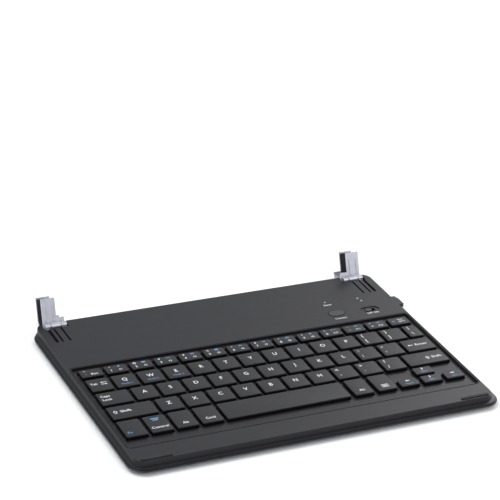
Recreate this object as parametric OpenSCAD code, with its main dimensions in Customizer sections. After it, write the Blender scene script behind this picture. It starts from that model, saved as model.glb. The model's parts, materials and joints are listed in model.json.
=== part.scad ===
// Slim wireless keyboard base for a tablet, with two sprung-steel clips on friction
// hinges at its rear corners. The tablet's long edge drops into the clips, stands up
// behind the base as a screen, and folds down over the keys as a cover.
// Millimetres, +X to the right, +Y to the rear, +Z up. The feet stand on Z = 0.

/* [Base] */
// Width of the base, left to right
base_w = 240.5; // [238:0.5:250]
// Distance from the origin to the front edge
base_front = 83.8; // [82:0.1:90]
// Radius of the base's corners, seen from above
corner_r = 10.5; // [10:0.5:14]
// Height of the rubber feet
foot_h = 1.4; // [1:0.1:2]
// Height of the base from its underside to the deck
shell_h = 5.8; // [5.8:0.1:6.6]
// Width of the low flange around the raised deck
flange_w = 3.1; // [2.7:0.1:3.2]

/* [Keys] */
// Width of the field of keycaps
field_w = 223.4; // [221:0.2:224]
// Gap between neighbouring keycaps
key_gap = 2.2; // [2:0.1:2.6]
// Depth of a letter keycap, front to rear
key_d = 13.6; // [13:0.1:13.8]
// Height of the keycap tops above the deck
key_proud = 0.4; // [0.2:0.1:0.8]
// How far a key goes down
key_travel = 1.4; // [1:0.1:1.4]

/* [Clips] */
// Lean of the opened clips from upright, in degrees
clip_lean = 22.2; // [15:0.1:25]
// Thickness of the tablet that the clips hold
tablet_t = 7.7; // [7:0.1:9]
// Height of a clip above the tablet's lower edge
clip_h = 19.6; // [14:0.1:26]
// Thickness of the clip's sheet metal
clip_t = 1; // [0.8:0.1:1.1]
// Radius of the hinge pins
pin_r = 0.9; // [0.7:0.05:1.1]

/* [Hidden] */
$fn = 48;

plastic_black = [0.16, 0.16, 0.17];
key_black = [0.10, 0.10, 0.11];
clip_silver = [0.78, 0.79, 0.80];
steel = [0.62, 0.63, 0.65];
rubber_black = [0.07, 0.07, 0.07];
membrane_clear = [0.75, 0.80, 0.78];
board_green = [0.10, 0.32, 0.20];

// A hair of extra length that lets one shape cut clean through another
eps = 0.05;

// Levels of the base, from the table up
under_z = foot_h;
deck_z = foot_h + shell_h;
floor_t = 1;
wall_t = 1.8;
deck_t = 1.2;
floor_z = under_z + floor_t;
roof_z = deck_z - deck_t;
seam_z = under_z + 2.3;
seam_gap = 0.2;

// Flange that the raised deck stands on: its rim, and its gentle rise to the deck's wall
rim_inset = 1;
rim_top = seam_z + 0.3;
rim_round = 0.2;
foot_z = seam_z + 0.6;

// Wall of the raised deck: how far it leans in, how much wider the flange is in front
wall_lean = 0.7;
front_extra = 0.8;
plateau_r = 7;
plateau_wall = 1.3;

// Outer edge of the bottom cover, from its rim down: [inset, level] pairs
skirt = [[0.5, seam_z - seam_gap], [0, seam_z - 0.5], [0, under_z + 1.4],
    [1, under_z + 0.7], [3, under_z + eps]];
cavity_step_z = under_z + 1.5;

// Rear face, which leans to clear the tablet's lower edge
deck_rear = 83.4;
rear_lean = 0.43;
function rear_at(z) = deck_rear - (deck_z - z) * rear_lean;

// Well that holds the keys, and the level of its floor
well_w = field_w + 6;
well_front = -63.5;
well_rear = 27.2;
well_r = 2;
well_wall = 1.2;
well_depth = 1.6;

// Fine groove in the deck around the well, and the strip between the two
groove_w = 0.5;
groove_depth = 0.4;
frame_w = 0.5;
well_z = deck_z - well_depth;
web_t = 0.8;
web_z = well_z - web_t;

// Keyboard stack under the well
plate_t = 0.4;
film_t = 0.2;
film_z = 3.3;
plate_z = film_z - plate_t;
stack_z = film_z + film_t;

// Keycaps, and the room left under a pressed one
key_floor = 0.3;
cap_top = deck_z + key_proud;
cap_bottom = stack_z + key_floor + key_travel;
cap_r = 0.9;
cap_skin = 1.2;
cap_wall = 0.9;
cap_clear = 0.35;
letter_w = 14.3;
tab_w = 13.8;
caps_w = 19.7;
shift_w = 28.3;
small_w = (field_w - 13 * key_gap) / 14;
bottom_w = 13.55;
space_w = field_w - 9 * key_gap - 9 * bottom_w;
bottom_d = 17.4;
half_gap = 2.2;
half_d = (bottom_d - half_gap) / 2;
top_d = 8.6;

// Front edge of each row, and each row's keycap widths from left to right
row_y = [14.7, -1.9, -18, -34.1, -53.9];
row_d = [top_d, key_d, key_d, key_d, bottom_d];
row_w = [
    [for (i = [0:13]) small_w],
    concat([tab_w], [for (i = [1:12]) letter_w],
        [field_w - tab_w - 12 * letter_w - 13 * key_gap]),
    concat([caps_w], [for (i = [1:11]) letter_w],
        [field_w - caps_w - 11 * letter_w - 12 * key_gap]),
    concat([shift_w], [for (i = [1:10]) letter_w],
        [field_w - shift_w - 10 * letter_w - 11 * key_gap]),
    [bottom_w, bottom_w, bottom_w, bottom_w, space_w,
        bottom_w, bottom_w, bottom_w, bottom_w, bottom_w]
];

// The space bar and the keys to its right are narrower than their places
right_trim = 0.8;

// Columns of the bottom row whose keycaps are half as deep
left_col = 7;
updown_col = 8;
right_col = 9;

function sum_to(list, n) = n <= 0 ? 0 : list[n - 1] + sum_to(list, n - 1);
function key_x(row, i) = -field_w / 2 + sum_to(row_w[row], i) + i * key_gap;

// Each keycap as [left, front, width, depth]
function full_key(row, i) = [key_x(row, i), row_y[row], row_w[row][i], row_d[row]];
function trimmed_key(i) = full_key(4, i) - [0, 0, right_trim, 0];
function low_key(i) = [key_x(4, i), row_y[4], bottom_w - right_trim, half_d];
function high_key(i) = low_key(i) + [0, half_d + half_gap, 0, 0];
all_keys = concat(
    [for (row = [0:3]) for (i = [0:len(row_w[row]) - 1]) full_key(row, i)],
    [for (i = [0:3]) full_key(4, i)],
    [for (i = [4:6]) trimmed_key(i)],
    [low_key(left_col), high_key(updown_col), low_key(updown_col), low_key(right_col)]
);

// Hinge axis and the clip's own axes: n is towards the user, s is up the tablet
hinge_y = 80;
hinge_z = deck_z - 0.4;
axis_n = 3.4;
axis_s = 2.5;
knuckle_r = 2.2;
fixed_knuckle_r = 2;
run_clear = 0.05;
clip_x0 = 97;
clip_x1 = 111;
plate_x0 = 102;
knuckle_x0 = 101;
knuckle_x1 = 107;
washer_t = 0.5;
washer_gap = 0.05;
step_h = 7;
edge_r = 6;
liner_t = 0.4;
face_t = 1.1;
rib_h = 0.4;

// Notch in the base's rear edge around each hinge
notch_x0 = 96;
notch_x1 = 112;
notch_y = 76.6;
notch_wall = 1.2;
clip_groove_front = 59.3;
clip_groove_depth = 0.7;

// Grooves in the deck in front of each clip, as [place, width]
clip_grooves = [[101.8, 1.1], [106.6, 1.1], [110.2, 1.9]];
bracket_clear = 0.2;

// Hinge bracket's leaf inside the base
leaf_z = 4.2;
leaf_t = 1;
leaf_front = 62;
hinge_screws = [[100.2, 66.5], [107.8, 66.5]];

// Controls on the deck's rear right corner
button_at = [71.4, 40.2];
button_l = 10.6;
button_w = 6;
button_travel = 0.6;
slider_at = [94.8, 38.7];
slider_l = 4.6;
slider_w = 2.6;
slider_travel = 2;
control_gap = 0.6;

// Oval recess around the slider
recess_l = 13;
recess_w = 6.6;
recess_depth = 0.5;

// Status light windows
light_at = [[70.9, 55.7], [94, 54.3], [95, 50.8]];
light_r = 0.7;
pipe_clear = 0.05;

// Circuit board
board_z = 2.7;
board_t = 0.8;
board_x0 = 60;
board_x1 = 111;
board_y0 = 29;
board_y1 = 61;
board_hole = 3;

// Charging port in the right side
port_y0 = 40.8;
port_pivot_y = 48.6;
port_z0 = 3.3;
port_z1 = 5.9;
port_x0 = base_w / 2 - 0.9;
port_x1 = port_x0 + 2;
port_pocket = 0.4;
port_rim = 0.45;

// Charging socket behind the cover: its box, and how far it stands clear of the shells
socket_x0 = port_x0 - 7;
socket_l = 5.9;
socket_y0 = 41.6;
socket_w = 7.6;
socket_z0 = 3.5;
socket_h = 2.3;
socket_wall = 0.4;
socket_back = 1.2;
socket_clear = 0.1;

// Screws that hold the two shells together
case_screw_at = [[-94, -73.5], [-36, -73.5], [36, -73.5], [94, -73.5],
    [-84, 71], [-28, 71], [28, 71], [84, 71]];
screw_r = 0.7;
screw_head_r = 1.7;
screw_clear = 0.05;
screw_loose = 0.15;
head_pocket = 0.85;
leaf_loose = 0.2;
boss_r = 2.2;
seat_r = 2.6;
seat_h = 0.6;
boss_gap = 0.7;
boss_floor = 0.3;
boss_hole = 3.4;

// ---- outlines ----

module rounded_box_2d(x0, x1, y0, y1, r) {
    translate([x0 + r, y0]) square([x1 - x0 - 2 * r, y1 - y0]);
    translate([x0, y0 + r]) square([x1 - x0, y1 - y0 - 2 * r]);
    for (x = [x0 + r, x1 - r]) for (y = [y0 + r, y1 - r]) translate([x, y]) circle(r);
}

module base_2d(inset, rear) {
    half = base_w / 2 - inset;
    rounded_box_2d(-half, half, -base_front + inset, rear, corner_r - inset);
}

module slab(z0, z1) {
    translate([0, 0, z0]) linear_extrude(z1 - z0) children();
}

module both_sides() {
    children();
    mirror([1, 0, 0]) children();
}

module notch_2d(grow) {
    both_sides()
        translate([notch_x0 - grow, notch_y - grow])
            square([notch_x1 - notch_x0 + 2 * grow, 20]);
}

module stadium_2d(length, width) {
    square([length - width, width], center = true);
    for (s = [-1, 1]) translate([s * (length - width) / 2, 0]) circle(width / 2);
}

// ---- shells ----

module port_pocket_cut() {
    translate([port_x0 - port_pocket, port_y0 - port_pocket, port_z0 - port_pocket])
        cube([5, port_pivot_y - port_y0 + 1 + 2 * port_pocket,
            port_z1 - port_z0 + 2 * port_pocket]);
    translate([socket_x0, socket_y0, socket_z0] - [1, 1, 1] * socket_clear)
        cube([socket_l + 2, socket_w, socket_h] + [2, 2, 2] * socket_clear);
}

module case_screw_hole(z0, h) {
    for (p = case_screw_at) translate([p[0], p[1], z0])
        cylinder(h = h, r = screw_r + screw_loose);
}

// Way through the notch's wall for the hinge bracket's leaf
module leaf_passage() {
    slab(leaf_z - leaf_loose, leaf_z + leaf_t + 2 * leaf_loose) both_sides()
        translate([clip_x0 - 2 * leaf_loose, notch_y - 3])
            square([clip_x1 - clip_x0 + 4 * leaf_loose, 6]);
}

module bottom_shell() {
    difference() {
        hull() for (k = skirt) slab(k[1] - eps, k[1])
            base_2d(k[0], rear_at(k[1]) - k[0] / 3, $fn = 32);
        difference() {
            union() {
                slab(cavity_step_z, seam_z + eps)
                    base_2d(wall_t + 0.2, rear_at(under_z) - wall_t);
                slab(floor_z, cavity_step_z + eps)
                    base_2d(2 * wall_t + 0.2, rear_at(under_z) - 2 * wall_t);
            }
            slab(floor_z - eps, seam_z + 2 * eps) notch_2d(notch_wall);
        }
        slab(under_z - eps, seam_z + eps) notch_2d(0);
        leaf_passage();
        port_pocket_cut();
        for (p = all_feet) translate([p[0], p[1], under_z - eps])
            cylinder(h = foot_recess + eps, r = foot_r + 0.1);
    }
    for (p = case_screw_at) translate([p[0], p[1], floor_z - eps])
        cylinder(h = seat_h, r = seat_r);
    both_sides() for (p = hinge_screws) translate([p[0], p[1], floor_z - eps])
        cylinder(h = leaf_z - floor_z + eps, r = boss_r);
}

module bottom_cover() color(plastic_black) difference() {
    bottom_shell();
    case_screw_hole(under_z, 3);
    for (p = case_screw_at) translate([p[0], p[1], under_z - eps])
        cylinder(h = head_pocket, r = screw_head_r + screw_loose);
    both_sides() for (p = hinge_screws) translate([p[0], p[1], floor_z + boss_floor])
        cylinder(h = 3, r = screw_r + screw_clear);
}

module well_2d(grow) {
    rounded_box_2d(-well_w / 2 - grow, well_w / 2 + grow, well_front - grow,
        well_rear + grow, well_r + grow);
}

module key_opening(k) {
    translate([k[0] - cap_clear, k[1] - cap_clear, web_z - 1])
        cube([k[2] + 2 * cap_clear, k[3] + 2 * cap_clear, 4]);
}

module clip_groove(x, y0, y1, w) {
    slab(deck_z - clip_groove_depth, deck_z + 1)
        translate([x, (y0 + y1) / 2]) rotate(90) stadium_2d(y1 - y0, w);
}

module deck_cuts() {
    slab(well_z, deck_z + 1) well_2d(0);
    slab(deck_z - groove_depth, deck_z + 1) difference() {
        well_2d(frame_w + groove_w);
        well_2d(frame_w);
    }
    for (k = all_keys) key_opening(k);
    both_sides() {
        for (g = clip_grooves) clip_groove(g[0], clip_groove_front, notch_y + 2, g[1]);
    }
    slab(web_z, deck_z + 1) translate(button_at)
        stadium_2d(button_l + control_gap, button_w + control_gap);
    slab(deck_z - recess_depth, deck_z + 1) translate(slider_at)
        stadium_2d(recess_l, recess_w);
    slab(web_z, deck_z + 1) translate(slider_at)
        square([slider_l + slider_travel, slider_w] + [1, 1] * control_gap, center = true);
    for (p = light_at) translate([p[0], p[1], web_z])
        cylinder(h = 6, r = light_r + pipe_clear);
    slab(deck_z - bumper_seat, deck_z + 1) bumper_2d(0.1);
    port_pocket_cut();
}

// Outline of the raised deck, set in from the foot of its wall
module plateau_2d(inset, rear) {
    half = base_w / 2 - flange_w - inset;
    front = -base_front + flange_w + front_extra + inset;
    rounded_box_2d(-half, half, front, rear, plateau_r - inset);
}

// Outer form of the deck: the flange, and the raised part that stands on it
module deck_form() {
    hull() {
        slab(seam_z, rim_top - rim_round) base_2d(rim_inset, rear_at(seam_z), $fn = 32);
        slab(rim_top - eps, rim_top) base_2d(rim_inset + rim_round, rear_at(seam_z), $fn = 32);
        slab(foot_z - eps, foot_z) plateau_2d(0, rear_at(foot_z), $fn = 32);
    }
    hull() {
        slab(foot_z - eps, foot_z) plateau_2d(0, rear_at(foot_z), $fn = 32);
        slab(deck_z - eps, deck_z) plateau_2d(wall_lean, deck_rear, $fn = 32);
    }
    slab(seam_z, port_z1 + 2 * port_pocket) rounded_box_2d(field_w / 2, base_w / 2 - port_rim,
        port_y0 - 3 * port_rim, port_pivot_y + 4.5 * port_rim, 1);
}

module top_deck() color(plastic_black) difference() {
    union() {
        difference() {
            deck_form();
            slab(seam_z - eps, roof_z) difference() {
                plateau_2d(plateau_wall, rear_at(seam_z) - wall_t);
                notch_2d(notch_wall);
            }
        }
        slab(web_z, roof_z + eps) well_2d(well_wall);
        for (p = case_screw_at) translate([p[0], p[1], floor_z + boss_gap])
            cylinder(h = roof_z - floor_z - boss_gap + eps, r = boss_r);
    }
    slab(seam_z - eps, deck_z + eps) notch_2d(0);
    leaf_passage();
    for (p = case_screw_at) translate([p[0], p[1], floor_z])
        cylinder(h = boss_hole, r = screw_r + screw_clear);
    deck_cuts();
}

// ---- keyboard stack ----

stack_half = well_w / 2 - 1;
stack_front = -57;
stack_rear = well_rear - 1;
stack_r = 1.5;
film_inset = 0.5;
plate_gap = 0.02;

module stack_2d(inset) {
    rounded_box_2d(inset - stack_half, stack_half - inset, stack_front + inset,
        stack_rear - inset, stack_r);
}

module backplate() color(steel) slab(plate_z, film_z - plate_gap) stack_2d(0);

module switch_membrane() color(membrane_clear) slab(film_z, stack_z) stack_2d(film_inset);

// Scissor links: thickness of their bars, and the gap between the two frames
link_bar = 0.7;
link_gap = 0.25;
link_h = 0.6;
link_lift = 0.1;
link_pivot = 0.4;
dome_h = 1.2;
function outer_link(k) = [min(k[2] - 3.4, 10), min(k[3] - 2.6, 9)];
function inner_link(k) = outer_link(k) - [2, 2] * (link_bar + link_gap);
function dome_r(k) = min(2.4, (min(inner_link(k)) - link_bar) / 2 - 0.15);

module rubber_domes() color(rubber_black) for (k = all_keys)
    translate([k[0] + k[2] / 2, k[1] + k[3] / 2, stack_z])
        cylinder(h = dome_h, r1 = dome_r(k), r2 = dome_r(k) / 2);

// One key's pair of crossed links, folded flat: an outer and an inner frame on two pivots
module scissor_pair(k) {
    outer = outer_link(k);
    inner = inner_link(k);
    translate([k[0] + k[2] / 2, k[1] + k[3] / 2, stack_z + link_lift]) {
        linear_extrude(link_h) difference() {
            square(outer, center = true);
            square(outer - [2, 2] * link_bar, center = true);
        }
        linear_extrude(link_h) difference() {
            square(inner, center = true);
            square(inner - [1, 1] * link_bar, center = true);
        }
        for (s = [-1, 1]) translate([s * (outer[0] / 2 - link_bar), 0, link_h / 2])
            cube([2 * link_bar, link_pivot, link_pivot], center = true);
    }
}

module scissor_links() color([0.85, 0.85, 0.83]) for (k = all_keys) scissor_pair(k);

// Wire under each wide key that keeps its two ends level
wire_r = 0.35;
wire_lift = 0.6;
wire_back = 5.3;
wire_arm = 4.1;
wire_end_gap = 2;

module stabilizer_bar(k) {
    reach = k[2] - 2 * wire_end_gap;
    translate([k[0] + k[2] / 2, k[1] + k[3] / 2, stack_z + wire_lift]) {
        translate([-reach / 2, wire_back, 0]) rotate([0, 90, 0])
            cylinder(h = reach, r = wire_r);
        for (s = [-1, 1]) translate([s * reach / 2 - wire_r, wire_back + 0.3 - wire_arm, -wire_r])
            cube([2 * wire_r, wire_arm, 2 * wire_r]);
    }
}

wide_keys = [full_key(2, 0), full_key(2, 12), full_key(3, 0), full_key(3, 11),
    trimmed_key(4)];

module stabilizer_bars() color(steel) for (k = wide_keys) stabilizer_bar(k);

// ---- electronics ----

module circuit_board() color(board_green) difference() {
    slab(board_z, board_z + board_t)
        rounded_box_2d(board_x0, board_x1, board_y0, board_y1, 1.5);
    for (x = [board_x0 + board_hole, board_x1 - board_hole])
        translate([x, board_y1 - board_hole, board_z - 1]) cylinder(h = 3, r = 1);
}

board_top = board_z + board_t;

// Radio can and two chips on the board, as [left, front, width, depth, height]
chips = [[79, 45, 9, 9, 1.4], [100, 50, 6, 5, 1], [80, 31, 4, 4, 0.8]];

module radio_module() color([0.35, 0.36, 0.38]) {
    for (c = chips) translate([c[0], c[1], board_top]) cube([c[2], c[3], c[4]]);
}

// Battery, as [left, right, front, rear], and its gaps to the floor and the roof
cell = [-62, 38, 30, 66];
cell_under = 0.1;
cell_over = 0.4;

module battery_cell() color([0.72, 0.74, 0.76]) slab(floor_z + cell_under, roof_z - cell_over)
    rounded_box_2d(cell[0], cell[1], cell[2], cell[3], 1);

// Flat tail from the membrane to the board: its left front corner and its size
tail_at = [66, 22.4, stack_z + plate_gap];
tail_size = [9, 10.8, 0.15];

module membrane_tail() color([0.80, 0.60, 0.30]) translate(tail_at) cube(tail_size);

module charge_socket() color(steel) difference() {
    translate([socket_x0, socket_y0, socket_z0]) cube([socket_l, socket_w, socket_h]);
    translate([socket_x0 + socket_back, socket_y0 + socket_wall, socket_z0 + socket_wall])
        cube([socket_l, socket_w - 2 * socket_wall, socket_h - 2 * socket_wall]);
}

// Rubber cover of the charging port, which swings out on its rear end
cover_r = 0.6;
cover_pivot_r = 1;

module port_cover() color(rubber_black) {
    slab(port_z0, port_z1) {
        translate([port_x0, port_y0 + cover_r])
            square([port_x1 - port_x0, port_pivot_y - port_y0 - cover_r]);
        translate([port_x0, port_y0]) square([port_x1 - port_x0 - cover_r, 1]);
        translate([port_x1 - cover_r, port_y0 + cover_r]) circle(cover_r);
        translate([(port_x0 + port_x1) / 2, port_pivot_y]) circle(cover_pivot_r);
    }
}

// Slide switch on the board, with its knob, and the button with its switch below
switch_size = [9, 3.6, 1.4];
knob_low = 0.9;
knob_sunk = 0.15;
knob_stem = [1.6, 1.2];
tact_size = [4, 4, 0.8];
button_low = 0.9;
button_proud = 0.35;
button_stem_r = 1.2;
press_gap = 0.1;

module power_switch() color(steel)
    translate([slider_at[0], slider_at[1], board_top] - [switch_size[0] / 2, switch_size[1] / 2, 0])
        cube(switch_size);

module power_slider() color(key_black) {
    translate([slider_at[0] - slider_travel / 2, slider_at[1], 0]) {
        slab(deck_z - knob_low, deck_z - knob_sunk) stadium_2d(slider_l, slider_w);
        slab(board_top + switch_size[2] + eps, deck_z - knob_low)
            square(knob_stem, center = true);
    }
}

module connect_button() color(key_black) translate(button_at) {
    slab(deck_z - button_low, deck_z + button_proud) stadium_2d(button_l, button_w);
    slab(board_top + tact_size[2] + button_travel + press_gap, deck_z - button_low + eps)
        circle(button_stem_r);
}

module connect_switch() color(steel)
    translate([button_at[0], button_at[1], board_top] - [tact_size[0] / 2, tact_size[1] / 2, 0])
        cube(tact_size);

// Lights: windows in the deck, and the small emitters below them on the board
emitter_size = [1, 0.6, 0.6];

module light_pipes() color([0.92, 0.95, 0.98]) for (p = light_at)
    translate([p[0], p[1], board_top + emitter_size[2] + 2 * eps])
        cylinder(h = deck_z - board_top - emitter_size[2] - eps, r = light_r);

module indicator_leds() color([0.95, 0.90, 0.70]) for (p = light_at)
    translate([p[0] - emitter_size[0] / 2, p[1] - emitter_size[1] / 2, board_top])
        cube(emitter_size);

// ---- rubber parts and screws ----

bumper_x0 = 94;
bumper_x1 = 113;
bumper_y = -77;
bumper_w = 2;
bumper_proud = 0.6;
bumper_seat = 0.4;

module bumper_2d(grow) {
    both_sides() translate([(bumper_x0 + bumper_x1) / 2, bumper_y])
        stadium_2d(bumper_x1 - bumper_x0 + 2 * grow, bumper_w + 2 * grow);
}

module front_bumpers() color(rubber_black)
    slab(deck_z - bumper_seat, deck_z + bumper_proud) bumper_2d(0);

foot_r = 4.5;
foot_recess = 0.3;
all_feet = [[-106, -70], [106, -70], [-88, 62], [88, 62], [0, 0]];

module rubber_feet() color(rubber_black) for (p = all_feet) translate([p[0], p[1], 0])
    cylinder(h = foot_h + foot_recess - eps, r = foot_r);

module screw(x, y, head_z, head_h, head_r, length, up) {
    translate([x, y, head_z]) {
        cylinder(h = head_h, r = head_r);
        translate([0, 0, up ? head_h - eps : -length]) cylinder(h = length + eps, r = screw_r);
    }
}

module case_screws() color(steel) for (p = case_screw_at)
    screw(p[0], p[1], under_z + 0.1, 0.6, screw_head_r, 3, true);

module hinge_screw_pair() color(steel) for (p = hinge_screws)
    screw(p[0], p[1], leaf_z + leaf_t + 0.01, 0.5, 1.4, 2.2, false);

module left_hinge_screws() mirror([1, 0, 0]) hinge_screw_pair();
module right_hinge_screws() hinge_screw_pair();

// ---- hinges, drawn for the right side and mirrored for the left ----

// Turns a (Y, Z) outline, drawn as (x, y), into a solid from x0 to x1
module along_x(x0, x1) {
    translate([x0, 0, 0]) rotate([90, 0, 90]) linear_extrude(x1 - x0) children();
}

module fixed_knuckle_2d() {
    translate([hinge_y, hinge_z]) circle(fixed_knuckle_r);
    translate([notch_y + bracket_clear, leaf_z])
        square([hinge_y - notch_y - bracket_clear, hinge_z - leaf_z - 0.8]);
}

module hinge_bracket() color(clip_silver) difference() {
    union() {
        along_x(clip_x0, knuckle_x0 - 2 * washer_gap - washer_t) fixed_knuckle_2d();
        along_x(knuckle_x1 + 2 * washer_gap + washer_t, clip_x1) fixed_knuckle_2d();
        slab(leaf_z, leaf_z + leaf_t) translate([clip_x0, leaf_front])
            square([clip_x1 - clip_x0, notch_y + 0.4 - leaf_front]);
    }
    along_x(clip_x0 - 1, clip_x1 + 1)
        translate([hinge_y, hinge_z]) circle(pin_r + 0.02);
    for (p = hinge_screws) translate([p[0], p[1], leaf_z - 1])
        cylinder(h = 3, r = screw_r + 0.15);
}

module hinge_pin() color(steel) along_x(clip_x0 + 0.1, clip_x1 - 0.1)
    translate([hinge_y, hinge_z]) circle(pin_r);

module friction_washers() color(steel)
    for (x = [knuckle_x0 - washer_gap - washer_t, knuckle_x1 + washer_gap])
        along_x(x, x + washer_t) translate([hinge_y, hinge_z]) difference() {
            circle(1.8);
            circle(pin_r + 0.03);
        }

// Places a clip outline, drawn as (-n, s), behind the hinge at the clip's lean
module clip_frame() {
    translate([hinge_y, hinge_z]) rotate(-clip_lean) translate([axis_n, -axis_s])
        children();
}

// Inside of the slot, open at the top: straight at the screen, round at the back
module slot_2d(grow_back) {
    back = tablet_t + grow_back;
    translate([0, edge_r]) square([back, clip_h]);
    translate([0, -grow_back]) square([tablet_t - edge_r, edge_r + grow_back + 1]);
    intersection() {
        translate([tablet_t - edge_r, edge_r]) circle(edge_r + grow_back);
        translate([0, -edge_r]) square([tablet_t + edge_r, 2 * edge_r]);
    }
}

module channel_2d(height) {
    difference() {
        intersection() {
            union() {
                slot_2d(liner_t + clip_t);
                translate([-face_t, -liner_t - clip_t]) square([face_t + 0.5, 60]);
            }
            translate([-5, -10]) square([40, height + 10]);
        }
        slot_2d(liner_t);
    }
}

module clip_knuckle_2d() {
    difference() {
        union() {
            translate([-axis_n, axis_s]) circle(knuckle_r);
            translate([-axis_n, axis_s - 1.4]) square([axis_n - 0.5, 2.8]);
        }
        translate([-axis_n, axis_s]) circle(pin_r + run_clear);
    }
}

module clip_rib(x, s0, s1) {
    along_x(x - 0.5, x + 0.5) clip_frame()
        translate([-face_t - rib_h, s0]) square([rib_h + 0.1, s1 - s0]);
}

module clip() color(clip_silver) {
    along_x(plate_x0, clip_x1) clip_frame() channel_2d(clip_h);
    along_x(clip_x0, plate_x0 + eps) clip_frame() channel_2d(step_h);
    along_x(knuckle_x0, knuckle_x1) clip_frame() clip_knuckle_2d();
    clip_rib(104.2, 5.2, clip_h - 4);
    clip_rib(109, 5.2, clip_h - 4);
}

module clip_liner() color(rubber_black) along_x(plate_x0 + 0.4, clip_x1 - 0.4)
    clip_frame() intersection() {
        difference() {
            slot_2d(liner_t - 0.02);
            slot_2d(0);
        }
        translate([0.5, -2]) square([20, clip_h + 1]);
    }

module left_hinge_bracket() mirror([1, 0, 0]) hinge_bracket();
module left_hinge_pin() mirror([1, 0, 0]) hinge_pin();
module left_friction_washers() mirror([1, 0, 0]) friction_washers();
module left_clip() mirror([1, 0, 0]) clip();
module left_clip_liner() mirror([1, 0, 0]) clip_liner();
module right_hinge_bracket() hinge_bracket();
module right_hinge_pin() hinge_pin();
module right_friction_washers() friction_washers();
module right_clip() clip();
module right_clip_liner() clip_liner();

// ---- keycaps ----

module keycap(k) color(key_black) difference() {
    slab(cap_bottom, cap_top) rounded_box_2d(k[0], k[0] + k[2], k[1], k[1] + k[3], cap_r);
    translate([k[0] + cap_wall, k[1] + cap_wall, cap_bottom - 1])
        cube([k[2] - 2 * cap_wall, k[3] - 2 * cap_wall, cap_top - cap_skin - cap_bottom + 1]);
}

module esc_key() keycap(full_key(0, 0));
module number_keys() for (i = [1:12]) keycap(full_key(0, i));
module delete_key() keycap(full_key(0, 13));
module tab_key() keycap(full_key(1, 0));
module top_letter_keys() for (i = [1:12]) keycap(full_key(1, i));
module backslash_key() keycap(full_key(1, 13));
module caps_lock_key() keycap(full_key(2, 0));
module home_letter_keys() for (i = [1:11]) keycap(full_key(2, i));
module enter_key() keycap(full_key(2, 12));
module left_shift_key() keycap(full_key(3, 0));
module bottom_letter_keys() for (i = [1:10]) keycap(full_key(3, i));
module right_shift_key() keycap(full_key(3, 11));
module fn_key() keycap(full_key(4, 0));
module control_key() keycap(full_key(4, 1));
module left_alt_key() keycap(full_key(4, 2));
module command_key() keycap(full_key(4, 3));
module space_bar() keycap(trimmed_key(4));
module right_alt_key() keycap(trimmed_key(5));
module menu_key() keycap(trimmed_key(6));
module left_arrow_key() keycap(low_key(left_col));
module up_arrow_key() keycap(high_key(updown_col));
module down_arrow_key() keycap(low_key(updown_col));
module right_arrow_key() keycap(low_key(right_col));

bottom_cover();
top_deck();
backplate();
switch_membrane();
rubber_domes();
scissor_links();
stabilizer_bars();
circuit_board();
radio_module();
battery_cell();
membrane_tail();
charge_socket();
port_cover();
power_switch();
power_slider();
connect_button();
connect_switch();
light_pipes();
indicator_leds();
front_bumpers();
rubber_feet();
case_screws();
left_hinge_bracket();
left_hinge_pin();
left_friction_washers();
left_hinge_screws();
left_clip();
left_clip_liner();
right_hinge_bracket();
right_hinge_pin();
right_friction_washers();
right_hinge_screws();
right_clip();
right_clip_liner();
esc_key();
number_keys();
delete_key();
tab_key();
top_letter_keys();
backslash_key();
caps_lock_key();
home_letter_keys();
enter_key();
left_shift_key();
bottom_letter_keys();
right_shift_key();
fn_key();
control_key();
left_alt_key();
command_key();
space_bar();
right_alt_key();
menu_key();
left_arrow_key();
up_arrow_key();
down_arrow_key();
right_arrow_key();
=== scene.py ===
"""Looks of a tablet keyboard base with two hinged clips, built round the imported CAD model."""

import json
import math

import bmesh
import bpy
from mathutils import Matrix, Vector

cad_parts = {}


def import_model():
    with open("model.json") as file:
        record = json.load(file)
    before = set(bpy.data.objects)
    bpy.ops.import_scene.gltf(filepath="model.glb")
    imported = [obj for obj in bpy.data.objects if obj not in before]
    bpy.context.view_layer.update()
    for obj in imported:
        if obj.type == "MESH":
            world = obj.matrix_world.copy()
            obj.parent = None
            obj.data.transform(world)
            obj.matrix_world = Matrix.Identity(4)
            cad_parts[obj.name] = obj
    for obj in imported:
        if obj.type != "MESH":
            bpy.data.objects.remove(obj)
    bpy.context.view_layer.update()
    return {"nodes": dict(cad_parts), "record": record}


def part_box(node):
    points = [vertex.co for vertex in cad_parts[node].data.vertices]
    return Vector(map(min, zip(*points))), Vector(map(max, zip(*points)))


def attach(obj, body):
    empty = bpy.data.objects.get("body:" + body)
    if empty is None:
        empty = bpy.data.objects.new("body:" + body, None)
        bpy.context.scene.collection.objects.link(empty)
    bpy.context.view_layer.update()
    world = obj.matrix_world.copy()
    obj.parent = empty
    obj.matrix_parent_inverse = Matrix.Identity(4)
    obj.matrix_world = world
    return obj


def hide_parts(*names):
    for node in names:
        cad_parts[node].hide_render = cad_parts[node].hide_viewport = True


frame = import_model()
MM = 0.001
nodes = frame["nodes"]


# ---- materials ----

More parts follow.
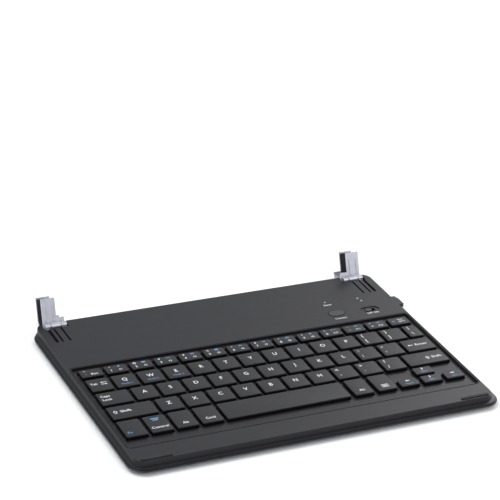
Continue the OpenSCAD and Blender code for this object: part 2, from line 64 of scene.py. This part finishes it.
class Shader:
    """One node material: a Principled shader plus the nodes that feed it."""

    def __init__(self, name, **sockets):
        self.material = bpy.data.materials.new(name)
        self.material.use_nodes = True
        self.tree = self.material.node_tree
        self.surface = self.tree.nodes["Principled BSDF"]
        for socket, value in sockets.items():
            self.surface.inputs[socket.replace("_", " ")].default_value = value
        self.place = self.tree.nodes.new("ShaderNodeTexCoord").outputs["Object"]
        self.height = None

    def node(self, kind, **settings):
        made = self.tree.nodes.new(kind)
        for name, value in settings.items():
            setattr(made, name, value)
        return made

    def noise(self, size_mm, detail=2.0, stretch=(1, 1, 1), roughness=0.5):
        """Noise with features of about that size; stretch makes it longer along an axis."""
        mapping = self.node("ShaderNodeMapping")
        mapping.inputs["Scale"].default_value = [1 / s for s in stretch]
        self.tree.links.new(self.place, mapping.inputs["Vector"])
        made = self.node("ShaderNodeTexNoise")
        made.inputs["Scale"].default_value = 1 / (size_mm * MM)
        made.inputs["Detail"].default_value = detail
        made.inputs["Roughness"].default_value = roughness
        self.tree.links.new(mapping.outputs["Vector"], made.inputs["Vector"])
        return made.outputs["Fac"]

    def ramp(self, factor, stops):
        """Colour ramp; each stop is (position, colour)."""
        made = self.node("ShaderNodeValToRGB")
        for stop in range(len(stops) - 2):
            made.color_ramp.elements.new(0.5)
        for element, (position, colour) in zip(made.color_ramp.elements, stops):
            element.position = position
            element.color = (*colour, 1)
        self.tree.links.new(factor, made.inputs["Fac"])
        return made.outputs["Color"]

    def span(self, factor, low, high, start=0.3, end=0.7):
        """The factor, stretched from start..end to low..high."""
        made = self.node("ShaderNodeMapRange")
        for socket, value in (("From Min", start), ("From Max", end), ("To Min", low), ("To Max", high)):
            made.inputs[socket].default_value = value
        self.tree.links.new(factor, made.inputs["Value"])
        return made.outputs["Result"]

    def colour(self, output):
        self.tree.links.new(output, self.surface.inputs["Base Color"])

    def rough(self, output):
        self.tree.links.new(output, self.surface.inputs["Roughness"])

    def bump(self, factor, depth_mm, strength):
        made = self.node("ShaderNodeBump")
        made.inputs["Strength"].default_value = strength
        made.inputs["Distance"].default_value = depth_mm * MM
        self.tree.links.new(factor, made.inputs["Height"])
        if self.height:
            self.tree.links.new(self.height, made.inputs["Normal"])
        self.height = made.outputs["Normal"]
        self.tree.links.new(self.height, self.surface.inputs["Normal"])


def grey(level, blue=1.0):
    return (level, level, level * blue)


def moulded(name, dark, light, low, high, grain_mm, depth_mm, blue=1.08, **sockets):
    """Moulded plastic: fine spark-eroded grain, faint mottling and slow changes of gloss."""
    shader = Shader(name, **sockets)
    mottle = shader.noise(size_mm=9, detail=4)
    shader.colour(shader.ramp(mottle, [(0.35, grey(dark, blue)), (0.65, grey(light, blue))]))
    shader.rough(shader.span(shader.noise(size_mm=1.2, detail=3), low, high))
    shader.bump(shader.noise(grain_mm, detail=3, roughness=0.6), depth_mm, strength=0.6)
    return shader.material


def metal(name, dark, light, low, high, stretch, grain_mm, depth_mm, blue=1.02):
    """Metal whose grain runs one way, or every way where stretch is even."""
    shader = Shader(name, Metallic=1.0)
    grain = shader.noise(grain_mm, detail=4, stretch=stretch)
    cloud = shader.noise(size_mm=4, detail=3)
    shader.colour(shader.ramp(cloud, [(0.3, grey(dark, blue)), (0.7, grey(light, blue))]))
    shader.rough(shader.span(grain, low, high))
    shader.bump(grain, depth_mm, strength=0.5)
    return shader.material


def film(name, base, trace, line_mm):
    """Printed film or board: thin conductor lines over a base colour."""
    shader = Shader(name, Roughness=0.4)
    wave = shader.node("ShaderNodeTexWave", wave_type="BANDS", bands_direction="DIAGONAL")
    wave.inputs["Scale"].default_value = 1 / (line_mm * MM * 2 * math.pi)
    wave.inputs["Distortion"].default_value = 3
    shader.tree.links.new(shader.place, wave.inputs["Vector"])
    shader.colour(shader.ramp(wave.outputs["Fac"], [(0.72, base), (0.8, trace)]))
    shader.bump(wave.outputs["Fac"], depth_mm=0.03, strength=0.3)
    return shader.material


def ink(name, base, worn):
    """Printed legend: nearly even, slightly mottled where the ink is thin."""
    shader = Shader(name)
    shader.colour(shader.ramp(shader.noise(size_mm=0.5, detail=3), [(0.3, worn), (0.6, base)]))
    shader.rough(shader.span(shader.noise(size_mm=1, detail=2), 0.45, 0.6))
    return shader.material


SHELL = moulded("shell_plastic_look", 0.006, 0.0075, 0.38, 0.43, 0.35, 0.018, blue=1.35,
                 Specular_IOR_Level=0.32)
# Keycap sides and undersides: the keycap plastic painted darker, as painted shade
CAP_SIDE_PAINTED_SHADE = moulded("keycap_side_painted_shade_look", 0.003, 0.004, 0.5, 0.6, 0.3, 0.01, Specular_IOR_Level=0.12)
KEY = moulded("keycap_plastic_look", 0.0055, 0.0065, 0.42, 0.47, 0.3, 0.015, blue=1.2,
               Specular_IOR_Level=0.34)
CONTROL = moulded("control_plastic_look", 0.012, 0.015, 0.3, 0.38, 0.3, 0.012)
LINK = moulded("link_plastic_look", 0.55, 0.62, 0.4, 0.5, 0.4, 0.01, blue=0.97)
BLACK_RUBBER = moulded("black_rubber_look", 0.011, 0.016, 0.7, 0.85, 0.25, 0.02, blue=1.0)
DOME_RUBBER = moulded("dome_rubber_look", 0.1, 0.13, 0.55, 0.7, 0.3, 0.01, blue=0.98)
# Groove floors: the shell plastic painted near black, as painted shade in the grooves
GROOVE_PAINTED_SHADE = moulded("groove_painted_shade_look", 0.003, 0.004, 0.6, 0.7, 0.5, 0.01, Specular_IOR_Level=0.06)
LIGHT = moulded("light_window_look", 0.5, 0.6, 0.15, 0.25, 0.6, 0.003, Transmission_Weight=0.4)
CLIP = metal("clip_metal_look", 0.5, 0.56, 0.36, 0.44, (1, 1, 1), 0.18, 0.01, blue=1.1)
STEEL = metal("plain_steel_look", 0.4, 0.5, 0.22, 0.38, (12, 1, 1), 0.3, 0.008)
CAN = metal("module_can_look", 0.5, 0.6, 0.25, 0.4, (1, 8, 1), 0.3, 0.006)
FOIL = metal("battery_foil_look", 0.5, 0.6, 0.3, 0.45, (1, 1, 1), 1.5, 0.06)
MEMBRANE = film("membrane_film_look", (0.55, 0.6, 0.57), (0.3, 0.3, 0.31), 2.2)
BOARD = film("board_look", (0.012, 0.09, 0.035), (0.03, 0.17, 0.07), 0.9)
TAIL = film("tail_film_look", (0.5, 0.25, 0.05), (0.75, 0.42, 0.12), 0.5)
WHITE_INK = ink("white_ink_look", (0.78, 0.79, 0.8), (0.62, 0.63, 0.65))
BLUE_INK = ink("blue_ink_look", (0.13, 0.3, 0.55), (0.08, 0.2, 0.4))

LOOKS = {
    "shell_plastic": SHELL, "keycap_plastic": KEY, "control_plastic": CONTROL,
    "clip_metal": CLIP, "plain_steel": STEEL, "black_rubber": BLACK_RUBBER,
    "dome_rubber": DOME_RUBBER, "membrane_film": MEMBRANE, "link_plastic": LINK,
    "board": BOARD, "module_can": CAN, "battery_foil": FOIL, "tail_film": TAIL,
    "light_window": LIGHT,
}


def slot_of(node):
    """The record's material slot of a CAD node."""
    return next(s["material_slot"] for s in frame["record"]["subparts"] if s["node"] == node)


def body_of(node):
    """The CAD body that a node belongs to."""
    return next(b for b, names in frame["record"]["behaviour"]["bodies"].items() if node in names)


for cad_name, cad_object in nodes.items():
    cad_object.data.materials.clear()
    cad_object.data.materials.append(LOOKS[slot_of(cad_name)])


# ---- pieces that keep a CAD node's shape but lose its hard edges ----

# Corners nearer than this are one, in millimetres
WELD = 0.002
# Faces within this of one plane are joined, edges sharper than the next are rounded, in degrees
FLAT_ANGLE = 0.5
EDGE_ANGLE = 32
EDGE_SEGMENTS = 2


def welded(node):
    """A CAD node's mesh with shared corners, as a bmesh."""
    mesh = bmesh.new()
    mesh.from_mesh(nodes[node].data)
    bmesh.ops.remove_doubles(mesh, verts=mesh.verts, dist=WELD * MM)
    return mesh


def islands(node):
    """The boxes of a node's separate solids, left to right, as (lowest, highest) corners."""
    mesh = welded(node)
    left, boxes = set(mesh.verts), []
    while left:
        wave, found = [left.pop()], []
        while wave:
            vert = wave.pop()
            found.append(vert.co.copy())
            for edge in vert.link_edges:
                other = edge.other_vert(vert)
                if other in left:
                    left.remove(other)
                    wave.append(other)
        boxes.append((Vector(min(c[i] for c in found) for i in range(3)),
                      Vector(max(c[i] for c in found) for i in range(3))))
    mesh.free()
    return sorted(boxes, key=lambda b: b[0].x)


def piece(name, mesh, node, materials, smooth):
    """A finished object made from a bmesh, which stands for a CAD node and rides with it."""
    data = bpy.data.meshes.new(name)
    mesh.to_mesh(data)
    mesh.free()
    for material in materials:
        data.materials.append(material)
    data.shade_smooth()
    data.set_sharp_from_angle(angle=math.radians(smooth))
    made = bpy.data.objects.new(name, data)
    bpy.context.scene.collection.objects.link(made)
    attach(made, body_of(node))
    return made


def refined(name, node, width_mm):
    """The node's own shape with its hard edges rounded by that much."""
    mesh = welded(node)
    flat_angle = math.radians(FLAT_ANGLE)
    bmesh.ops.dissolve_limit(mesh, angle_limit=flat_angle, verts=mesh.verts, edges=mesh.edges)
    made = piece(name, mesh, node, [LOOKS[slot_of(node)]], EDGE_ANGLE)
    round_off = made.modifiers.new("edges", "BEVEL")
    round_off.width = width_mm * MM
    round_off.segments = EDGE_SEGMENTS
    round_off.limit_method = "ANGLE"
    round_off.angle_limit = math.radians(EDGE_ANGLE)
    round_off.use_clamp_overlap = False
    flat = made.modifiers.new("flat_faces", "WEIGHTED_NORMAL")
    flat.mode = "FACE_AREA"
    flat.weight = 100
    flat.keep_sharp = True
    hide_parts(node)


# New name, CAD node, and how far its edges are rounded in millimetres
REFINED = [
    ("deck_shell", "top_deck", 0.1), ("bottom_shell", "bottom_cover", 0.2),
    ("charging_port_cover", "port_cover", 0.25), ("connect_push_button", "connect_button", 0.3),
    ("power_slide_knob", "power_slider", 0.2), ("bumper_strips", "front_bumpers", 0.25),
    ("foot_pads", "rubber_feet", 0.4), ("socket_shell", "charge_socket", 0.1),
    ("battery_pouch", "battery_cell", 0.6), ("radio_can", "radio_module", 0.12),
    ("slide_switch", "power_switch", 0.12), ("tact_switch", "connect_switch", 0.12),
]
for side in ("left", "right"):
    REFINED += [
        (f"{side}_clip_body", f"{side}_clip", 0.18), (f"{side}_clip_pad", f"{side}_clip_liner", 0.08),
        (f"{side}_bracket", f"{side}_hinge_bracket", 0.2),
        (f"{side}_washers", f"{side}_friction_washers", 0.08),
        (f"{side}_pin", f"{side}_hinge_pin", 0.15), (f"{side}_leaf_screws", f"{side}_hinge_screws", 0.12),
    ]
for new_name, cad_name, round_mm in REFINED:
    refined(new_name, cad_name, round_mm)


# How far below the deck a face of a groove lies to get painted shade, in millimetres: least and most
GROOVE_DEPTHS = (0.1, 0.8)


def paint_groove_shade(made):
    """Paints shade into the shallow grooves in front of the clips, behind the lights: their faces get a
    near-black finish.
    """
    top, lights_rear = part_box("top_deck")[1].z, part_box("light_pipes")[1].y
    made.data.materials.append(GROOVE_PAINTED_SHADE)
    for face in made.data.polygons:
        depth = (top - face.center.z) / MM
        if face.center.y > lights_rear and GROOVE_DEPTHS[0] < depth < GROOVE_DEPTHS[1]:
            face.material_index = 1


paint_groove_shade(bpy.data.objects["deck_shell"])


# ---- keycaps with printed legends ----

# Keycaps, in millimetres: corner radius and its least, wall, skin, and the broken edge of the rim
CAP_R = 0.9
LEAST_R = 0.15
CAP_WALL = 0.9
CAP_SKIN = 1.2
RIM_INSET = 0.05
RIM_RISE = 0.1
CORNER_STEPS = 5
CAP_SMOOTH = 40

# Rings of the cap's profile that belong to its side and not to its top, and take the side's painted shade
SIDE_RINGS = 3

# Material numbers in a cap's mesh; the side's number carries painted shade
WHITE, BLUE, SHADED_SIDE = 1, 2, 3

# Printed ink: how far it stands above and reaches below a surface, and how much bolder than the font
INK_UP = 0.012
INK_DOWN = 0.02
INK_SPREAD = 0.012
LETTER_STEPS = 3
LETTER_WELD = 0.0005

# Height of a capital letter for a font of size 1
CAPITAL = 0.7

# Outer profile of a cap from its rim upwards: (inset, drop below the top)
CAP_PROFILE = [(0, 0.75), (0.06, 0.4), (0.15, 0.2), (0.27, 0.08), (0.42, 0.02), (0.6, 0)]


def rounded_ring(mesh, low, high, inset, radius, z):
    """Corners of a rounded rectangle at a level, as new vertices in order. All in millimetres."""
    ring = []
    reach = max(radius - inset, LEAST_R)
    for quarter, (sx, sy) in enumerate(((1, 1), (-1, 1), (-1, -1), (1, -1))):
        cx = (high.x if sx > 0 else low.x) - sx * (inset + reach)
        cy = (high.y if sy > 0 else low.y) - sy * (inset + reach)
        for step in range(CORNER_STEPS + 1):
            turn = math.pi / 2 * (quarter + step / CORNER_STEPS)
            ring.append(mesh.verts.new((cx + reach * math.cos(turn), cy + reach * math.sin(turn), z)))
    return ring


def skin(mesh, rings, top_rings):
    """Closed surface through the rings, capped at both ends; all but its top rings are the side, which gets
    the darker painted-shade finish.
    """
    for level, (lower, upper) in enumerate(zip(rings, rings[1:])):
        for i in range(len(lower)):
            j = (i + 1) % len(lower)
            face = mesh.faces.new((lower[i], lower[j], upper[j], upper[i]))
            face.material_index = 0 if level >= len(rings) - 1 - top_rings else SHADED_SIDE
    mesh.faces.new(rings[0][::-1]).material_index = SHADED_SIDE
    mesh.faces.new(rings[-1])


def add_cap(mesh, low, high):
    """One keycap: softly rounded top, hollow underneath."""
    rings = [rounded_ring(mesh, low, high, CAP_WALL, CAP_R, high.z - CAP_SKIN),
             rounded_ring(mesh, low, high, CAP_WALL, CAP_R, low.z),
             rounded_ring(mesh, low, high, RIM_INSET, CAP_R, low.z),
             rounded_ring(mesh, low, high, 0, CAP_R, low.z + RIM_RISE)]
    rings += [rounded_ring(mesh, low, high, inset, CAP_R, high.z - drop) for inset, drop in CAP_PROFILE]
    skin(mesh, rings, len(CAP_PROFILE) - SIDE_RINGS)


def lettering(body, height, align):
    """Lettering as a thin solid round its own origin, in a mesh of its own."""
    curve = bpy.data.curves.new("legend", "FONT")
    curve.body = body
    curve.size = height / CAPITAL
    curve.resolution_u = LETTER_STEPS
    curve.align_x = align
    curve.offset = height * INK_SPREAD
    curve.extrude = (INK_UP + INK_DOWN) / 2
    holder = bpy.data.objects.new("legend", curve)
    bpy.context.scene.collection.objects.link(holder)
    solid = bpy.data.meshes.new_from_object(holder.evaluated_get(bpy.context.evaluated_depsgraph_get()))
    bpy.data.objects.remove(holder)
    bpy.data.curves.remove(curve)
    return solid


def add_text(mesh, body, x, y, z, height, align, slot, width=None):
    """Prints lettering on level z; height is that of a capital letter."""
    letters = bmesh.new()
    solid = lettering(body, height, align)
    letters.from_mesh(solid)
    bmesh.ops.remove_doubles(letters, verts=letters.verts, dist=LETTER_WELD)
    across = [v.co.x for v in letters.verts]
    upward = [v.co.y for v in letters.verts]
    squeeze = width / (max(across) - min(across)) if width else 1
    middle = (max(upward) + min(upward)) / 2
    rise = z + (INK_UP - INK_DOWN) / 2
    for vert in letters.verts:
        vert.co = (x + vert.co.x * squeeze, y + vert.co.y - middle, rise + vert.co.z)
    for face in letters.faces:
        face.material_index = slot
    letters.to_mesh(solid)
    letters.free()
    mesh.from_mesh(solid)
    bpy.data.meshes.remove(solid)


def add_sign(mesh, outline, x, y, z, slot):
    """A printed shape from its outline, given round its own centre in millimetres."""
    lower = [mesh.verts.new((x + px, y + py, z - INK_DOWN)) for px, py in outline]
    upper = [mesh.verts.new((x + px, y + py, z + INK_UP)) for px, py in outline]
    faces = [mesh.faces.new(upper), mesh.faces.new(lower[::-1])]
    for i in range(len(outline)):
        j = (i + 1) % len(outline)
        faces.append(mesh.faces.new((lower[i], lower[j], upper[j], upper[i])))
    for face in faces:
        face.material_index = slot


def inner_line(outline, stroke):
    """The outline moved inwards by the stroke's width."""
    points = [Vector(p) for p in outline]
    moved = []
    for before, here, after in zip([points[-1]] + points[:-1], points, points[1:] + [points[0]]):
        first, second = (here - before).normalized(), (after - here).normalized()
        left_of = Vector((-first.y - second.y, first.x + second.x))
        moved.append(here + left_of * stroke / (1 + first.dot(second)))
    return moved


def add_line_sign(mesh, outline, x, y, z, slot, stroke):
    """A printed shape drawn as a line along its outline."""
    inside = inner_line(outline, stroke)
    for i in range(len(outline)):
        j = (i + 1) % len(outline)
        add_sign(mesh, [outline[i], outline[j], inside[j], inside[i]], x, y, z, slot)


def bar(length, thick):
    """Outline of a level bar."""
    x, y = length / 2, thick / 2
    return [(-x, -y), (x, -y), (x, y), (-x, y)]


def disc(radius, sides=14):
    """Outline of a small disc."""
    return [(radius * math.cos(2 * math.pi * i / sides), radius * math.sin(2 * math.pi * i / sides))
            for i in range(sides)]


# Half width of an arrow's head, as a share of the head's length and of the shaft's half width
HEAD_SPREAD = 0.62
SHAFT_SPREAD = 2.2


def pointer(length, turn=0, thick=0.1, tip=0.45):
    """Outline of an arrow that points along +X, then turned by quarters."""
    head, shaft = tip * length, thick * length
    wing = max(HEAD_SPREAD * head, SHAFT_SPREAD * shaft)
    points = [(-length / 2, -shaft), (length / 2 - head, -shaft), (length / 2 - head, -wing), (length / 2, 0),
              (length / 2 - head, wing), (length / 2 - head, shaft), (-length / 2, shaft)]
    cos, sin = ((1, 0), (0, 1), (-1, 0), (0, -1))[turn]
    return [(px * cos - py * sin, px * sin + py * cos) for px, py in points]


LEFT, MID = "LEFT", "CENTER"

# A legend is (text, across from the cap's left edge, back from its rear edge, height, align, ink, width).
# A sign is (outline, across, back, ink). A line sign has its line's width before the ink.


def text(body, across, back, height=1.9, align=MID, ink=WHITE, width=None):
    return ("text", body, across, back, height, align, ink, width)


def sign(outline, across, back, ink=WHITE):
    return ("sign", outline, across, back, ink)


def line_sign(outline, across, back, stroke=0.32, ink=WHITE):
    return ("line_sign", outline, across, back, stroke, ink)


# Where a top-row key's shortcut mark is, and how far its repeated parts are apart
ICON_AT = (9.3, 2.0)
BAR_SHIFT = 0.5
DOT_SHIFT = 1.1


def top_icon(kind):
    """Small blue shortcut mark of a key in the top row."""
    across, back = ICON_AT
    return {
        "sun": [sign(disc(0.75), across, back, BLUE)],
        "wide": [sign(bar(2.6, 0.5), across, back + shift, BLUE) for shift in (-BAR_SHIFT, BAR_SHIFT)],
        "next": [sign(pointer(2.6), across, back, BLUE)],
        "back": [sign(pointer(2.6, 2), across, back, BLUE)],
        "box": [sign(bar(2.4, 1.5), across, back, BLUE)],
        "dots": [sign(disc(0.4, sides=10), across + shift, back, BLUE)
                 for shift in (-DOT_SHIFT, 0, DOT_SHIFT)],
    }[kind]


def top_key(upper, lower, icon, label):
    return [text(upper, 3.5, 1.9, 1.6), text(lower, 3.5, 5.6, 2.0), *top_icon(icon),
            text(label, 9.5, 5.7, 1.5)]


TOP_ICONS = ["sun", "box", "dots", "wide", "box", "back",
             "next", "wide", "sun", "dots", "back", "next"]
NUMBER_LEGENDS = [top_key(upper, lower, icon, f"F{i + 1}")
                  for i, (upper, lower, icon) in enumerate(zip("!@#$%^&*()_+", "1234567890-=", TOP_ICONS))]


def letter(name, below=None):
    parts = [text(name, 7.15, 5.9, 3.0)]
    if below:
        parts.append(text(below, 7.15, 10.3, 1.5, ink=BLUE, width=6.7))
    return parts


def pair(upper, lower, across=3.4, lower_back=9.5):
    return [text(upper, across, 3.2, 2.9), text(lower, across, lower_back, 2.9)]


SUB_LEGENDS = {"Q": "Mode 1", "W": "Mode 2", "E": "Mode 3"}
LEGENDS = {
    "esc_key": [[text("~", 3.5, 1.9, 1.9), text("`", 3.5, 5.3, 2.2), text("Esc", 8.8, 5.6, 1.8, width=4.3)]],
    "number_keys": NUMBER_LEGENDS,
    "delete_key": [[sign(pointer(2.4, 2), 3.3, 4.2, BLUE), text("Back", 8.8, 2.7, 1.4),
                    text("space", 8.8, 5.4, 1.4)]],
    "tab_key": [[text("Tab", 1.5, 5.7, 2.0, LEFT), sign(pointer(4, 2, 0.05, 0.3), 9.9, 4.9),
                 sign(pointer(4, 0, 0.05, 0.3), 9.9, 6.9)]],
    "top_letter_keys": [*(letter(c, SUB_LEGENDS.get(c)) for c in "QWERTYUIOP"),
                        pair("{", "["), pair("}", "]")],
    "backslash_key": [pair("|", "\\")],
    "caps_lock_key": [[text("Caps", 1.8, 4.5, 2.1, LEFT), text("Lock", 1.8, 7.9, 2.1, LEFT)]],
    "home_letter_keys": [*(letter(c) for c in "ASDFGHJKL"),
                         pair(":", ";", 2.8, 9.3), pair('"', "'", 2.8, 9.3)],
    "enter_key": [[sign(pointer(3.6, 2, 0.07, 0.36), 4.4, 6.8),
                   text("Enter", 7.6, 6.8, 2.1, LEFT, width=8.6)]],
    "left_shift_key": [[line_sign(pointer(3.4, 1, 0.2, 0.55), 3.9, 6.2),
                        text("Shift", 6.8, 6.2, 2.2, LEFT, width=6.9)]],
    "bottom_letter_keys": [*(letter(c) for c in "ZXCVBNM"),
                           pair("<", ","), pair(">", "."), pair("?", "/")],
    "right_shift_key": [[line_sign(pointer(3.4, 1, 0.2, 0.55), 15.4, 7),
                         text("Shift", 18, 7, 2.2, LEFT, width=6.9)]],
    "fn_key": [[text("Fn", 3.6, 13, 2.2, ink=BLUE)]],
    "control_key": [[sign(bar(5, 1), 6.75, 3.4, BLUE), sign(bar(3.4, 1), 6.75, 5, BLUE),
                     text("Control", 6.75, 12.5, 2.1, width=10.4)]],
    "left_alt_key": [[text("Alt", 6.75, 12.7, 2.1)]],
    "command_key": [[text("Cmd", 6.75, 12.5, 2.1, width=6)]],
    "space_bar": [[]],
    "right_alt_key": [[text("Alt", 6.4, 12.7, 2.1)]],
    "menu_key": [[sign(bar(4.6, 0.5), 6.4, back) for back in (11.4, 12.6, 13.8)]],
    "left_arrow_key": [[sign(pointer(3, 2), 6.4, 2), text("Home", 6.4, 5.1, 1.4, ink=BLUE)]],
    "up_arrow_key": [[sign(pointer(2.4, 1), 6.4, 2), text("PgUp", 6.4, 5.1, 1.4, ink=BLUE)]],
    "down_arrow_key": [[sign(pointer(2.4, 3), 6.4, 2), text("PgDn", 6.4, 5.1, 1.4, ink=BLUE)]],
    "right_arrow_key": [[sign(pointer(3), 6.4, 2), text("End", 6.4, 5.1, 1.4, ink=BLUE)]],
}


def print_marks(mesh, marks, left, rear, z):
    """Prints a list of legends and signs, placed from a left and a rear edge."""
    for kind, *what in marks:
        if kind == "text":
            body, across, back, height, align, slot, width = what
            add_text(mesh, body, left + across, rear - back, z, height, align, slot, width)
        elif kind == "line_sign":
            outline, across, back, stroke, slot = what
            add_line_sign(mesh, outline, left + across, rear - back, z, slot, stroke)
        else:
            outline, across, back, slot = what
            add_sign(mesh, outline, left + across, rear - back, z, slot)


def key_row(node):
    """All the caps of one key node, with their legends, as one piece."""
    mesh = bmesh.new()
    for (low, high), marks in zip(islands(node), LEGENDS[node]):
        low, high = low / MM, high / MM
        add_cap(mesh, low, high)
        print_marks(mesh, marks, low.x, high.y, high.z)
    bmesh.ops.scale(mesh, vec=(MM, MM, MM), verts=mesh.verts)
    # The last finish, on the sides and underside of each cap, is painted shade
    finishes = [KEY, WHITE_INK, BLUE_INK, CAP_SIDE_PAINTED_SHADE]
    made = piece(node.replace("_key", "_cap"), mesh, node, finishes, CAP_SMOOTH)
    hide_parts(node)


for key_node in LEGENDS:
    key_row(key_node)


# ---- printed labels on the deck ----

def centre(node):
    """Middle of a CAD node's box, in millimetres."""
    low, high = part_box(node)
    return (low + high) / 2 / MM


# Labels, in millimetres: height of a capital, and the place from what each one names, as (right, back)
LABEL_HEIGHT = 1.6
STATUS_FROM_LIGHT = (0, -3.7)
CONNECT_FROM_BUTTON = (0, -6.2)
POWER_FROM_SLIDER = (1, -4.4)
LABEL_SMOOTH = 35


def deck_labels():
    """Small words in front of the lights, the button and the slider."""
    deck_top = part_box("top_deck")[1].z / MM
    button, slider = centre("connect_button"), centre("power_slider")
    low, high = islands("light_pipes")[0]
    light = (low + high) / 2 / MM
    mesh = bmesh.new()
    marks = [("Status", light, STATUS_FROM_LIGHT), ("Connect", button, CONNECT_FROM_BUTTON),
             ("OFF ON", slider, POWER_FROM_SLIDER)]
    for word, named, (right, back) in marks:
        add_text(mesh, word, named.x + right, named.y + back, deck_top, LABEL_HEIGHT, MID, 0)
    bmesh.ops.scale(mesh, vec=(MM, MM, MM), verts=mesh.verts)
    piece("deck_labels", mesh, "top_deck", [WHITE_INK], LABEL_SMOOTH)


deck_labels()


# ---- floor, lights and camera ----

FLOOR_HALF = 20


def floor():
    """Large pale sheet that the keyboard stands on."""
    mesh = bpy.data.meshes.new("floor")
    corners = [(sx * FLOOR_HALF, sy * FLOOR_HALF, 0) for sx, sy in ((-1, -1), (1, -1), (1, 1), (-1, 1))]
    mesh.from_pydata(corners, [], [(0, 1, 2, 3)])
    shader = Shader("floor_look")
    shader.colour(shader.ramp(shader.noise(size_mm=300, detail=2), [(0.3, grey(0.92)), (0.7, grey(0.94))]))
    shader.rough(shader.span(shader.noise(size_mm=80), 0.85, 0.95))
    mesh.materials.append(shader.material)
    made = bpy.data.objects.new("floor", mesh)
    bpy.context.scene.collection.objects.link(made)


def area_light(name, place, size, power):
    """Round soft light that faces the origin."""
    lamp = bpy.data.lights.new(name, "AREA")
    lamp.shape = "DISK"
    lamp.size = size
    lamp.energy = power
    holder = bpy.data.objects.new(name, lamp)
    bpy.context.scene.collection.objects.link(holder)
    holder.location = place
    holder.rotation_euler = (-Vector(place)).to_track_quat("-Z", "Y").to_euler()


SKY_COLOUR = (0.94, 0.96, 1, 1)


def world(strength):
    """Even pale light from all round."""
    sky = bpy.data.worlds.new("studio")
    sky.use_nodes = True
    background = sky.node_tree.nodes["Background"]
    background.inputs["Color"].default_value = SKY_COLOUR
    background.inputs["Strength"].default_value = strength
    bpy.context.scene.world = sky


# The photograph's viewpoint: place in metres; azimuth, elevation and roll in degrees; lens in millimetres
CAMERA_AT = (-0.51755, -0.94933, 0.62871)
CAMERA_TURN = (27.855, 26.837, 5.028)
SENSOR = 36
FOCAL = 147.97
FAR = 50


def camera():
    """Looks from in front, to the left and above, with a slight roll."""
    place = Vector(CAMERA_AT)
    azimuth, elevation, roll = (math.radians(a) for a in CAMERA_TURN)
    forward = Vector((math.sin(azimuth) * math.cos(elevation), math.cos(azimuth) * math.cos(elevation),
                      -math.sin(elevation)))
    level = forward.cross(Vector((0, 0, 1))).normalized()
    upward = level.cross(forward)
    right = level * math.cos(roll) + upward * math.sin(roll)
    up = upward * math.cos(roll) - level * math.sin(roll)
    lens = bpy.data.cameras.new("camera")
    lens.sensor_width = SENSOR
    lens.lens = FOCAL
    lens.clip_end = FAR
    holder = bpy.data.objects.new("camera", lens)
    bpy.context.scene.collection.objects.link(holder)
    axes = Matrix((right, up, -forward)).transposed().to_4x4()
    holder.matrix_world = Matrix.Translation(place) @ axes
    bpy.context.scene.camera = holder


floor()
world(strength=0.85)
area_light("key_light", (-0.7, 0.3, 1.7), size=1.2, power=14)
area_light("back_light", (1.5, 1.3, 1.05), size=0.8, power=9)
area_light("fill_light", (0.9, -1.2, 1.1), size=1.0, power=5)
camera()
bpy.context.scene.view_settings.view_transform = "Standard"
